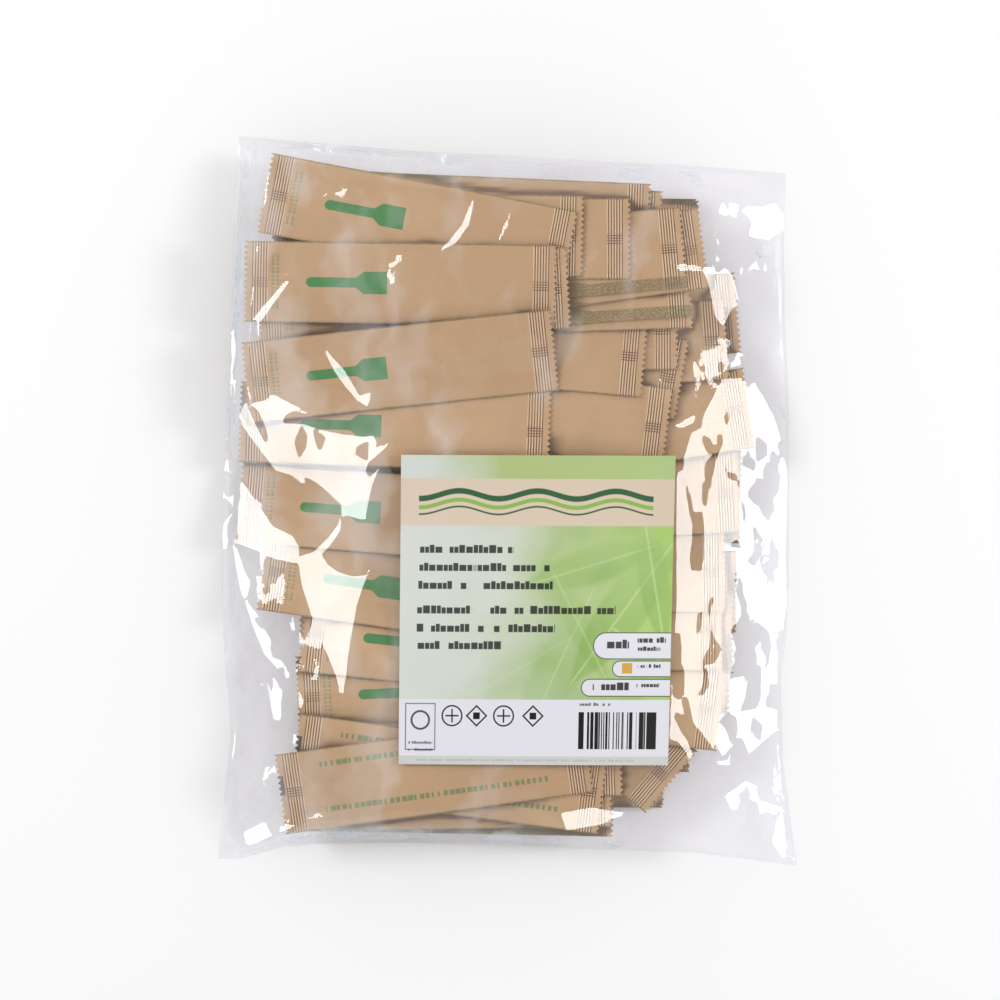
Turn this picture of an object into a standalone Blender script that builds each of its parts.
"""A clear film bag of one hundred paper sachets, each round a wooden ice-cream spoon, with a printed label.

The pack lies on its back with the label up. Z points out of the label, Y to the top seal and X to the right.
Places in the plane are in sachet lengths along X and sachet widths along Y, from the middle of the pack.
"""

import math

import bpy
import numpy as np

# Sizes, in metres
SACHET_LENGTH = 0.120
SACHET_WIDTH = 0.031
SACHET_THICKNESS = 0.00165
SEAL_THICKNESS = 0.0004
SEAL_LENGTH = 0.011
SHOULDER_LENGTH = 0.010
SPOON_WIDTH = 0.017
FILM_THICKNESS = 0.00025
LABEL_WIDTH = 0.105
LABEL_LENGTH = 0.1185
LABEL_THICKNESS = 0.0002
CLEARANCE = 0.0003

# How high each side of the bag is drawn up by what it holds
LIFT_LEFT = 0.010
LIFT_RIGHT = 0.002
LIFT_TOP = 0.004
LIFT_FOOT = 0.003
LIFT_CORNER = 0.001

# The vent hole in the back film
VENT_RADIUS = 0.003
VENT_PLACE = (0.83, 3.1)
VENT_SIDES = 12

# How the hidden sachets are stacked in bundles
BUNDLE_SIZE = 3
BUNDLE_PITCH = 0.80
BUNDLE_SLIDE = 0.0005

# Paper, film and label colours, linear
KRAFT = (0.53, 0.35, 0.20)
FILM = (0.86, 0.86, 0.89)
LABEL_GREEN = (0.45, 0.62, 0.28)
FILM_ALPHA = 0.35
KRAFT_ROUGHNESS = 0.75
FILM_ROUGHNESS = 0.12
LABEL_ROUGHNESS = 0.4

# The outline of the bag, corner by corner
LEFT_SIDE = (
    (-0.931, -4.467), (-0.910, -3.883), (-0.891, -3.077), (-0.881, -2.618), (-0.904, -2.233),
    (-0.908, -1.000), (-0.910, 0.484), (-0.901, 1.117), (-0.891, 1.985), (-0.878, 3.100),
    (-0.869, 3.970), (-0.865, 4.541),
)
RIGHT_SIDE = (
    (0.931, -4.541), (0.910, -4.007), (0.878, -3.201), (0.872, -2.531), (0.891, -1.241), (0.904, 0.620),
    (0.904, 1.241), (0.894, 2.480), (0.891, 3.474), (0.894, 4.069),
)
FOOT_SIDE = (
    (-0.931, -4.467), (-0.856, -4.467), (-0.724, -4.318), (-0.622, -4.231), (-0.333, -4.256),
    (0.038, -4.305), (0.292, -4.355), (0.606, -4.404), (0.885, -4.529), (0.931, -4.541),
)
TOP_SIDE = ((-0.865, 4.541), (0.040, 4.265), (0.894, 4.069))

# The bundles that fill the pack, from the bottom up: X, Y and the turn in degrees
BUNDLES = {
    "left": (
        (-0.240, 3.30, 0.5), (-0.285, 2.20, -0.5), (-0.305, 1.12, 0.3), (-0.305, 0.04, -0.4),
        (-0.165, -1.04, 0.5), (-0.150, -2.12, -0.5), (-0.160, -3.20, 0.4),
    ),
    "right": (
        (0.110, 3.25, -0.5), (0.200, 2.15, 0.5), (0.250, 1.05, -0.4), (0.245, -0.03, 0.3),
        (0.230, -1.11, -0.5), (0.210, -2.19, 0.5), (0.000, -3.30, -0.4),
    ),
    "upper": (
        (-0.310, 0.58, 0.6), (-0.285, -0.55, -0.5), (-0.165, -1.62, 0.5), (-0.160, -2.75, 0.4),
        (0.250, 0.45, -0.6), (0.220, -1.65, 0.6), (0.080, -2.85, -0.4),
    ),
}

# The sachets that show at the front, from the bottom up: name, X, Y and the turn in degrees
SACHETS = (
    ("sachet_right_slanted", 0.142, -2.258, -40),
    ("sachet_right_15", 0.189, -2.381, -7),
    ("sachet_right_14", 0.189, -1.613, 0),
    ("sachet_right_13", 0.200, -0.894, 0),
    ("sachet_right_12", 0.247, 0.000, 3),
    ("sachet_right_11", 0.150, 1.000, 0),
    ("sachet_right_10", 0.282, 0.845, 9),
    ("sachet_right_9", 0.242, 2.161, 5),
    ("sachet_right_8", 0.205, 1.861, 4),
    ("sachet_right_7", 0.067, 1.823, -10),
    ("sachet_right_6", 0.045, 2.110, 0),
    ("sachet_right_5", -0.080, 1.203, -8),
    ("sachet_right_4", 0.017, 1.116, -7),
    ("sachet_right_3", -0.058, 1.935, -5),
    ("sachet_upper_7", 0.090, 2.560, 2),
    ("sachet_upper_6", 0.083, 2.640, 4),
    ("sachet_upper_5", -0.010, 3.460, -4),
    ("sachet_upper_4", -0.045, 3.500, -2.5),
    ("sachet_upper_3", 0.133, 2.850, 8),
    ("sachet_upper_2", 0.067, 2.960, 5),
    ("sachet_upper_1", -0.108, 3.226, 0),
    ("sachet_left_11", -0.258, 3.290, -1),
    ("sachet_left_10", -0.290, 3.440, -11),
    ("sachet_left_9", -0.303, 2.519, 3),
    ("sachet_left_8", -0.344, 2.674, -1),
    ("sachet_left_7", -0.032, -2.445, -5),
    ("sachet_left_6", -0.177, -2.355, 2.5),
    ("sachet_left_5", -0.163, -1.823, -6),
    ("sachet_left_4", -0.295, -1.129, -8),
    ("sachet_left_3", -0.366, -0.174, -4.5),
    ("sachet_left_2", -0.363, 0.906, -2),
    ("sachet_left_1", -0.345, 1.652, 6),
    ("sachet_foot_5", -0.160, -3.640, -1),
    ("sachet_foot_4", -0.167, -3.580, 1),
    ("sachet_foot_3", -0.135, -3.226, 2),
    ("sachet_foot_2", -0.189, -3.390, -7.5),
    ("sachet_foot_1", -0.236, -3.380, 8.0),
)

LABEL_PLACE = (0.089, -1.360)
LABEL_TURN = -0.3

# Steps of the height map on which the pile is stacked, and of the search for how a piece comes to rest
CELL = 0.00125
MAP_MARGIN = 0.014
MAP_BLOCK = 4 * CELL
STEEPEST_ALONG = 0.30
STEEPEST_ACROSS = 0.35
LEAST_SHARE = 0.04
NOTHING = -1.0
LET_DOWN = (0.3, 0.3, 0.3, 0.4, 0.4, 0.4, 0.5, 0.5, 0.6, 0.8, 1.0)

# Steps of the film
FILM_STEPS = (128, 160)
FILM_COLUMNS = (0, 1, 3, 7, 14, 22, 31, 40, 49, 58, 67, 76, 85, 94, 103, 111, 118, 123, 127, 128)
FILM_ROWS = (
    0, 1, 3, 7, 14, 22, 30, 38, 46, 55, 64, 73, 82, 91, 100, 109, 118, 127, 136, 144, 151, 156, 159, 160,
)
BACK_RINGS = 3
RING_LIFT = 0.2
RIM_SHARPNESS = 8
LEAST_WEIGHT = 1e-9
LABEL_CELLS = (7, 8)
LABEL_CELL_STEPS = 8
SETTLING_ROUNDS = 900
LIFTING_ROUNDS = 8


def clear_scene():
    for thing in list(bpy.data.objects):
        bpy.data.objects.remove(thing, do_unlink=True)


def material(name, colour, roughness, alpha=1.0):
    finish = bpy.data.materials.new(name)
    finish.use_nodes = True
    shader = finish.node_tree.nodes["Principled BSDF"]
    shader.inputs["Base Color"].default_value = (*colour, 1.0)
    shader.inputs["Roughness"].default_value = roughness
    shader.inputs["Alpha"].default_value = alpha
    return finish


def add_object(name, points, faces, finish):
    mesh = bpy.data.meshes.new(name)
    mesh.from_pydata([tuple(map(float, p)) for p in points], [], faces)
    mesh.materials.append(finish)
    mesh.validate()
    made = bpy.data.objects.new(name, mesh)
    bpy.context.scene.collection.objects.link(made)
    return made


def in_metres(place):
    return np.array((place[0] * SACHET_LENGTH, place[1] * SACHET_WIDTH))


# The sachet: a flat pillow with a sealed strip across each end

END = SACHET_LENGTH / 2
SEAL = END - SEAL_LENGTH
SHOULDER = SEAL - SHOULDER_LENGTH
SIDE = SACHET_WIDTH / 2
FLAT = SPOON_WIDTH / 2
SHOWN_STOPS = (-END, -SEAL, -SHOULDER, -SHOULDER / 3, SHOULDER / 3, SHOULDER, SEAL, END)
HIDDEN_STOPS = (-END, -SHOULDER, 0.0, SHOULDER, END)


LINES = (-SIDE, -FLAT, FLAT, SIDE)


def half_thickness(along, across):
    """Half of the sachet's thickness at a place in its own plane."""
    swells = (SACHET_THICKNESS / 2, SEAL_THICKNESS, SEAL_THICKNESS / 2)
    swell = np.interp(np.abs(along), (SHOULDER, SEAL, END), swells)
    return swell * np.interp(np.abs(across), (FLAT, SIDE), (1.0, 0.0))


def sachet_shape(stops):
    """Points and faces of one sachet, flat and about its own middle. Its long sides are folds."""
    points = []
    for stop in stops:
        h = float(half_thickness(stop, 0.0))
        ring = ((-SIDE, 0), (-FLAT, -h), (FLAT, -h), (SIDE, 0), (FLAT, h), (-FLAT, h))
        points += [(stop, across, height) for across, height in ring]
    faces = [(5, 4, 3, 2, 1, 0)]
    for k in range(0, 6 * (len(stops) - 1), 6):
        for i, j in ((0, 1), (1, 2), (2, 3)):
            faces += [(k + i, k + 6 + j, k + 6 + i), (k + i, k + j, k + 6 + j)]
        for i, j in ((0, 5), (5, 4), (4, 3)):
            faces += [(k + i, k + 6 + i, k + 6 + j), (k + i, k + 6 + j, k + j)]
    last = 6 * (len(stops) - 1)
    faces.append(tuple(range(last, last + 6)))
    return np.array(points, float), faces


# The pile: each piece comes down on what lies below, and bends to it


def map_span():
    """How far the height map goes each way from the middle: past the outline, in whole blocks."""
    corners = np.array([in_metres(c) for c in LEFT_SIDE + RIGHT_SIDE + FOOT_SIDE + TOP_SIDE])
    return np.ceil((np.abs(corners).max(0) + MAP_MARGIN) / MAP_BLOCK) * MAP_BLOCK


class HeightMap:
    """The top of what already lies in the bag, on a square grid."""

    def __init__(self, floor):
        self.span = map_span()
        stops = [np.arange(-span, span, CELL) for span in self.span]
        self.x, self.y = np.meshgrid(*stops, indexing="ij")
        self.top = np.full(self.x.shape, floor)

    def raise_to(self, heights):
        """Takes the higher of the two, with each height spread to the cells beside it."""
        wide = np.maximum(heights, np.maximum(np.roll(heights, 1, 0), np.roll(heights, -1, 0)))
        wide = np.maximum(wide, np.maximum(np.roll(wide, 1, 1), np.roll(wide, -1, 1)))
        self.top = np.maximum(self.top, wide)

    def cover(self, places, heights):
        """Raises the map to a sheet that is given node by node."""
        marked = np.zeros(self.top.shape)
        i = np.rint((places[..., 0] + self.span[0]) / CELL).astype(int)
        j = np.rint((places[..., 1] + self.span[1]) / CELL).astype(int)
        np.maximum.at(marked, (i, j), heights)
        self.raise_to(marked)

    def at(self, x, y):
        i = np.clip(np.rint((x + self.span[0]) / CELL).astype(int), 0, self.top.shape[0] - 1)
        j = np.clip(np.rint((y + self.span[1]) / CELL).astype(int), 0, self.top.shape[1] - 1)
        return self.top[i, j]


def bundle_layers():
    """How far each sachet of a bundle slides along it, and how high it lies from the bundle's middle."""
    rise = SACHET_THICKNESS * BUNDLE_PITCH
    return [(BUNDLE_SLIDE * (-1) ** k, (k - (BUNDLE_SIZE - 1) / 2) * rise) for k in range(BUNDLE_SIZE)]


def seen_from(x, y, degrees):
    """Places as seen from a frame that is turned by so many degrees."""
    angle = math.radians(degrees)
    return x * math.cos(angle) + y * math.sin(angle), y * math.cos(angle) - x * math.sin(angle)


def shares(stops, along, across):
    """The three nodes round each place, on a grid of sections and lines, and the share of each."""
    s = np.clip(along, stops[0], stops[-1])
    t = np.clip(across, -SIDE, SIDE)
    i = np.clip(np.searchsorted(stops, s, side="right") - 1, 0, len(stops) - 2)
    j = np.clip(np.searchsorted(LINES, t, side="right") - 1, 0, len(LINES) - 2)
    a = (s - np.take(stops, i)) / (np.take(stops, i + 1) - np.take(stops, i))
    b = (t - np.take(LINES, j)) / (np.take(LINES, j + 1) - np.take(LINES, j))
    first = i * len(LINES) + j
    far = first + len(LINES) + 1
    side = np.where(a >= b, first + len(LINES), first + 1)
    weights = (1 - np.maximum(a, b), np.abs(a - b), np.minimum(a, b))
    return np.stack((first, side, far), -1), np.stack(weights, -1)


def bent_to(nodes, weights, need, stops):
    """Node heights that clear every needed height, let down little by little as far as the paper bends."""
    count = len(stops) * len(LINES)
    heights = np.full(count, need.max())
    touching = [np.nonzero((nodes == n) & (weights > LEAST_SHARE)) for n in range(count)]
    for part in LET_DOWN:
        for n in range(count):
            rows, columns = touching[n]
            spare = ((heights[nodes[rows]] * weights[rows]).sum(1) - need[rows]) / weights[rows, columns]
            k, m = divmod(n, len(LINES))
            least = NOTHING
            for near, gap, slope in neighbours(k, m, stops):
                least = max(least, heights[near] - gap * slope)
            drop = min(spare.min(), heights[n] - least)
            heights[n] -= part * max(drop, 0.0)
    return heights


def neighbours(k, m, stops):
    """The nodes beside one node, how far off they are, and how steep the paper may be between them."""
    found = []
    for way in (-1, 1):
        if 0 <= k + way < len(stops):
            found.append(((k + way) * len(LINES) + m, abs(stops[k + way] - stops[k]), STEEPEST_ALONG))
        if 0 <= m + way < len(LINES):
            found.append((k * len(LINES) + m + way, abs(LINES[m + way] - LINES[m]), STEEPEST_ACROSS))
    return found


def settle(field, centre, turn, layers, stops):
    """Lays a piece on the pile, and returns the height of its middle sheet at each node."""
    along, across = seen_from(field.x - centre[0], field.y - centre[1], turn)
    need = np.full(field.top.shape, NOTHING)
    above = np.full(field.top.shape, NOTHING)
    for slide, rise in layers:
        near = (np.abs(along - slide) < END + CELL) & (np.abs(across) < SIDE + CELL)
        h = half_thickness(along - slide, across)
        need = np.where(near, np.maximum(need, field.top + CLEARANCE + h - rise), need)
        above = np.where(near, np.maximum(above, rise + h), above)
    used = need > NOTHING
    nodes, weights = shares(stops, along[used], across[used])
    heights = bent_to(nodes, weights, need[used], stops)
    top = np.zeros(need.shape)
    top[used] = (heights[nodes] * weights).sum(1) + above[used]
    field.raise_to(top)
    return heights


def placed(points, layer, centre, turn, stops, heights):
    """Points of one sachet's own frame, moved to where its piece came to rest."""
    slide, rise = layer
    along = points[:, 0] + slide
    nodes, weights = shares(stops, along, points[:, 1])
    z = (heights[nodes] * weights).sum(1) + points[:, 2] + rise
    x, y = seen_from(along, points[:, 1], -turn)
    return np.stack((x + centre[0], y + centre[1], z), axis=1)


def united(name, pieces):
    """One solid from pieces that overlap."""
    first, *others = pieces
    for other in others:
        union = first.modifiers.new("union", "BOOLEAN")
        union.operation = "UNION"
        union.solver = "EXACT"
        union.object = other
        other.hide_render = True
        other.hide_viewport = True
    first.name = name
    return first


def add_piece(field, name, row, layers, stops):
    """One sachet, or a bundle of them in one solid."""
    x, y, turn = row
    centre = in_metres((x, y))
    heights = settle(field, centre, turn, layers, stops)
    points, faces = sachet_shape(stops)
    finish = material(name, KRAFT, KRAFT_ROUGHNESS)
    pieces = []
    for k, layer in enumerate(layers):
        spots = placed(points, layer, centre, turn, stops, heights)
        pieces.append(add_object(f"{name}_{k}", spots, faces, finish))
    return united(name, pieces)


def add_pile(field):
    for side, rows in BUNDLES.items():
        for k, row in enumerate(rows):
            add_piece(field, f"bundle_{side}_{k + 1}", row, bundle_layers(), HIDDEN_STOPS)
    for name, *row in SACHETS:
        add_piece(field, name, row, [(0.0, 0.0)], SHOWN_STOPS)


# The film: a loose sheet drawn over the pile, above a flat back sheet


def side_curve(corners, steps):
    """Evenly spaced places along one side of the bag."""
    corners = np.array([in_metres(c) for c in corners])
    run = np.concatenate(([0.0], np.cumsum(np.linalg.norm(np.diff(corners, axis=0), axis=1))))
    stops = np.linspace(0.0, run[-1], steps + 1)
    return np.stack([np.interp(stops, run, corners[:, k]) for k in (0, 1)], axis=1)


def film_places():
    """The plan of the bag as a grid of places, bent to its four sides."""
    columns, rows = FILM_STEPS
    u = np.linspace(0, 1, columns + 1)[:, None, None]
    v = np.linspace(0, 1, rows + 1)[None, :, None]
    foot = side_curve(FOOT_SIDE, columns)[:, None]
    top = side_curve(TOP_SIDE, columns)[:, None]
    left = side_curve(LEFT_SIDE, rows)[None]
    right = side_curve(RIGHT_SIDE, rows)[None]
    low = (1 - u) * foot[0, 0] + u * foot[-1, 0]
    high = (1 - u) * top[0, 0] + u * top[-1, 0]
    return (1 - v) * (foot - low) + v * (top - high) + (1 - u) * left + u * right


def edge_heights():
    """How high the rim of the bag is, over the whole grid. It is lowest at the corners."""
    columns, rows = FILM_STEPS
    u = np.linspace(0, 1, columns + 1)[:, None]
    v = np.linspace(0, 1, rows + 1)[None, :]
    over_u = np.sqrt(np.sin(math.pi * u).clip(0))
    over_v = np.sqrt(np.sin(math.pi * v).clip(0))
    sides = (LIFT_LEFT * (1 - u) + LIFT_RIGHT * u) * over_v
    ends = (LIFT_FOOT * (1 - v) + LIFT_TOP * v) * over_u
    weight_sides = np.abs(2 * u - 1) ** RIM_SHARPNESS
    weight_ends = np.abs(2 * v - 1) ** RIM_SHARPNESS
    lift = (sides * weight_sides + ends * weight_ends) / (weight_sides + weight_ends + LEAST_WEIGHT)
    return lift + LIFT_CORNER


def drawn_sheet(floor, rim):
    """A sheet pulled tight over the floor from the rim."""
    sheet = floor.copy()
    edge = np.zeros(sheet.shape, bool)
    edge[0], edge[-1], edge[:, 0], edge[:, -1] = True, True, True, True
    sheet[edge] = rim[edge]
    for _ in range(SETTLING_ROUNDS):
        middle = (sheet[:-2, 1:-1] + sheet[2:, 1:-1] + sheet[1:-1, :-2] + sheet[1:-1, 2:]) / 4
        sheet[1:-1, 1:-1] = np.maximum(middle, floor[1:-1, 1:-1])
    return sheet


def lifted_nodes(sheet, floor, columns, rows):
    """Heights at the coarse nodes, raised until the facets between them clear the floor."""
    coarse = sheet[np.ix_(columns, rows)]
    for _ in range(LIFTING_ROUNDS):
        raised = coarse.copy()
        for i in range(len(columns) - 1):
            for j in range(len(rows) - 1):
                block = floor[columns[i]:columns[i + 1] + 1, rows[j]:rows[j + 1] + 1]
                a = np.linspace(0, 1, block.shape[0])[:, None]
                b = np.linspace(0, 1, block.shape[1])[None, :]
                z = coarse[i:i + 2, j:j + 2]
                lower = z[0, 0] + a * (z[1, 0] - z[0, 0]) + b * (z[1, 1] - z[1, 0])
                upper = z[0, 0] + b * (z[0, 1] - z[0, 0]) + a * (z[1, 1] - z[0, 1])
                short = (block - np.where(a >= b, lower, upper)).max()
                if short > 0:
                    raised[i:i + 2, j:j + 2] = np.maximum(raised[i:i + 2, j:j + 2], z + short)
        if np.array_equal(raised, coarse):
            break
        coarse = raised
    return coarse


def sheet_faces(index, flip=False):
    """Two triangles a cell, along the diagonal that the heights were checked on."""
    faces = []
    for i in range(index.shape[0] - 1):
        for j in range(index.shape[1] - 1):
            faces += cell_faces(index, i, j, flip)
    return faces


def cell_faces(index, i, j, flip):
    a, b, c, d = (int(n) for n in (index[i, j], index[i + 1, j], index[i + 1, j + 1], index[i, j + 1]))
    return [(c, b, a), (d, c, a)] if flip else [(a, b, c), (a, c, d)]


def rim_loop(index):
    """The outer nodes of a grid of nodes, once round."""
    loop = [*index[:-1, 0], *index[-1, :-1], *index[:0:-1, -1], *index[0, :0:-1]]
    return [int(n) for n in loop]


def band(lower, upper):
    """The narrow faces between two loops of nodes."""
    faces = []
    for k in range(len(lower)):
        n = (k + 1) % len(lower)
        faces += [(lower[k], lower[n], upper[n]), (lower[k], upper[n], upper[k])]
    return faces


def back_faces(index, rings, flip):
    """The back sheet: a few rings of cells at the rim, then one flat face."""
    faces = []
    for i in range(index.shape[0] - 1):
        for j in range(index.shape[1] - 1):
            if min(i, j, index.shape[0] - 2 - i, index.shape[1] - 2 - j) < rings:
                faces += cell_faces(index, i, j, flip)
    flat = rim_loop(index[rings:-rings, rings:-rings])
    return [*faces, tuple(reversed(flat)) if flip else tuple(flat)]


def back_heights(rim):
    """The back sheet at its coarse nodes: it rises to the rim in its outer rings and is flat inside them."""
    heights = rim[np.ix_(FILM_COLUMNS, FILM_ROWS)].copy()
    heights[2:-2, 2:-2] *= RING_LIFT
    heights[BACK_RINGS:-BACK_RINGS, BACK_RINGS:-BACK_RINGS] = 0.0
    return heights


def between(coarse, columns, rows):
    """Heights at all the fine nodes, from those at the coarse ones."""
    fine_x = np.arange(columns[-1] + 1)
    fine_y = np.arange(rows[-1] + 1)
    half = np.stack([np.interp(fine_x, columns, coarse[:, j]) for j in range(len(rows))], axis=1)
    return np.stack([np.interp(fine_y, rows, half[i]) for i in range(len(fine_x))], axis=0)


def add_film(pile, places, rim, back):
    """The bag as one thin shell, and the heights of its front at the fine nodes."""
    floor = pile.at(places[..., 0], places[..., 1]) + 2 * CLEARANCE
    sheet = drawn_sheet(floor, rim + FILM_THICKNESS)
    front = lifted_nodes(sheet, floor, FILM_COLUMNS, FILM_ROWS)
    front = np.maximum(front, back + FILM_THICKNESS + 2 * CLEARANCE)
    inside = back + FILM_THICKNESS
    joint = np.ones(back.shape, bool)
    joint[2:-2, 2:-2] = False
    front[joint] = inside[joint]

    x, y = (places[np.ix_(FILM_COLUMNS, FILM_ROWS)][..., k] for k in (0, 1))
    layers = (front + FILM_THICKNESS, back, front, inside)
    points = np.concatenate([np.stack((x, y, z), axis=-1).reshape(-1, 3) for z in layers])
    count = x.size
    outer_front, outer_back, inner_front, inner_back = (
        np.arange(count).reshape(x.shape) + k * count for k in range(4)
    )
    inner_back[joint] -= count
    faces = sheet_faces(outer_front)
    faces += sheet_faces(inner_front[1:-1, 1:-1], flip=True)
    faces += back_faces(outer_back, BACK_RINGS, flip=True)
    faces += back_faces(inner_back[1:-1, 1:-1], BACK_RINGS - 1, flip=False)
    faces += band(rim_loop(outer_back), rim_loop(outer_front))
    finish = material("film_bag", FILM, FILM_ROUGHNESS, FILM_ALPHA)
    film = add_object("film_bag", *used_only(points, faces), finish)
    cut_vent(film)
    return between(front + FILM_THICKNESS, FILM_COLUMNS, FILM_ROWS)


def used_only(points, faces):
    """Drops a facet that is there from both sides, as in a corner of the seal, and unused nodes."""
    seen = [frozenset(face) for face in faces]
    faces = [face for face, nodes in zip(faces, seen) if seen.count(nodes) == 1]
    used = sorted({n for face in faces for n in face})
    number = {n: k for k, n in enumerate(used)}
    return points[used], [tuple(number[n] for n in face) for face in faces]


def cut_vent(film):
    """A small round hole through the back film, so that the bag isn't airtight."""
    x, y = in_metres(VENT_PLACE)
    angles = [2 * math.pi * k / VENT_SIDES for k in range(VENT_SIDES)]
    ring = [(x + VENT_RADIUS * math.cos(a), y + VENT_RADIUS * math.sin(a)) for a in angles]
    reach = LIFT_CORNER + FILM_THICKNESS + CLEARANCE
    points = [(px, py, z) for z in (-FILM_THICKNESS, reach) for px, py in ring]
    low = list(range(VENT_SIDES))
    high = [k + VENT_SIDES for k in low]
    caps = [tuple(reversed(low)), tuple(high)]
    cutter = add_object("vent_cutter", points, band(low, high) + caps, film.data.materials[0])
    hole = film.modifiers.new("vent", "BOOLEAN")
    hole.operation = "DIFFERENCE"
    hole.solver = "EXACT"
    hole.object = cutter
    cutter.hide_render = True
    cutter.hide_viewport = True


def add_label(front, places):
    """The printed label, a thin sheet that follows the front of the bag."""
    skin = HeightMap(0.0)
    skin.cover(places, front)
    steps = [n * LABEL_CELL_STEPS for n in LABEL_CELLS]
    u = np.linspace(-LABEL_WIDTH / 2, LABEL_WIDTH / 2, steps[0] + 1)[:, None]
    v = np.linspace(-LABEL_LENGTH / 2, LABEL_LENGTH / 2, steps[1] + 1)[None, :]
    angle = math.radians(LABEL_TURN)
    middle = in_metres(LABEL_PLACE)
    x = middle[0] + u * math.cos(angle) - v * math.sin(angle)
    y = middle[1] + u * math.sin(angle) + v * math.cos(angle)
    floor = skin.at(x, y) + CLEARANCE
    sheet = drawn_sheet(floor, floor)
    columns, rows = (tuple(range(0, n + 1, LABEL_CELL_STEPS)) for n in steps)
    under = lifted_nodes(sheet, floor, columns, rows)
    cx, cy = x[np.ix_(columns, rows)], y[np.ix_(columns, rows)]
    heights = (under + LABEL_THICKNESS, under)
    points = np.concatenate([np.stack((cx, cy, z), axis=-1).reshape(-1, 3) for z in heights])
    upper = np.arange(cx.size).reshape(cx.shape)
    lower = upper + cx.size
    faces = sheet_faces(upper) + sheet_faces(lower, flip=True) + band(rim_loop(lower), rim_loop(upper))
    add_object("label", points, faces, material("label", LABEL_GREEN, LABEL_ROUGHNESS))


def main():
    clear_scene()
    places = film_places()
    rim = edge_heights()
    back = back_heights(rim)
    pile = HeightMap(FILM_THICKNESS)
    pile.cover(places, between(back, FILM_COLUMNS, FILM_ROWS) + FILM_THICKNESS)
    add_pile(pile)
    front = add_film(pile, places, rim, back)
    add_label(front, places)


main()
